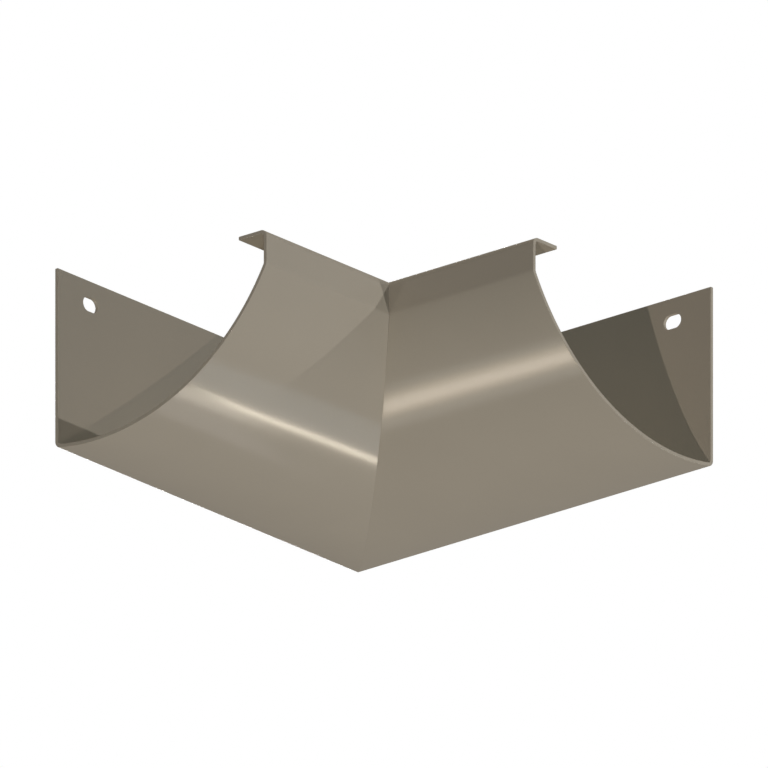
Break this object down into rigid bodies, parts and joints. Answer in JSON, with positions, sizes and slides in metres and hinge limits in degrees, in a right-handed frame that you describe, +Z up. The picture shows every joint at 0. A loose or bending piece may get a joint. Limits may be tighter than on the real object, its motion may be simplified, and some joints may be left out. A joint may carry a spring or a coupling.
{
  "type": "gutter inside miter",
  "caption": "Inside-corner gutter piece: open troughs with a flat back, a radiused front and a turned-in lip, mitred at a right angle and welded flush.",
  "frame": {"origin": "on the vertical line where the two fascia boards meet, at the height of the lowest line of the troughs", "axes": "+X along the back of the left leg, +Y along the back of the right leg, +Z up; the backs lie in the planes Y = 0 and X = 0, facing -Y and -X"},
  "size_m": [0.37, 0.37, 0.156],
  "materials": {
    "coil_coat": "satin bronze-grey paint over aluminium sheet"
  },
  "bodies": {
    "root": {"left_leg": "coil_coat", "right_leg": "coil_coat"}
  },
  "joints": []
}
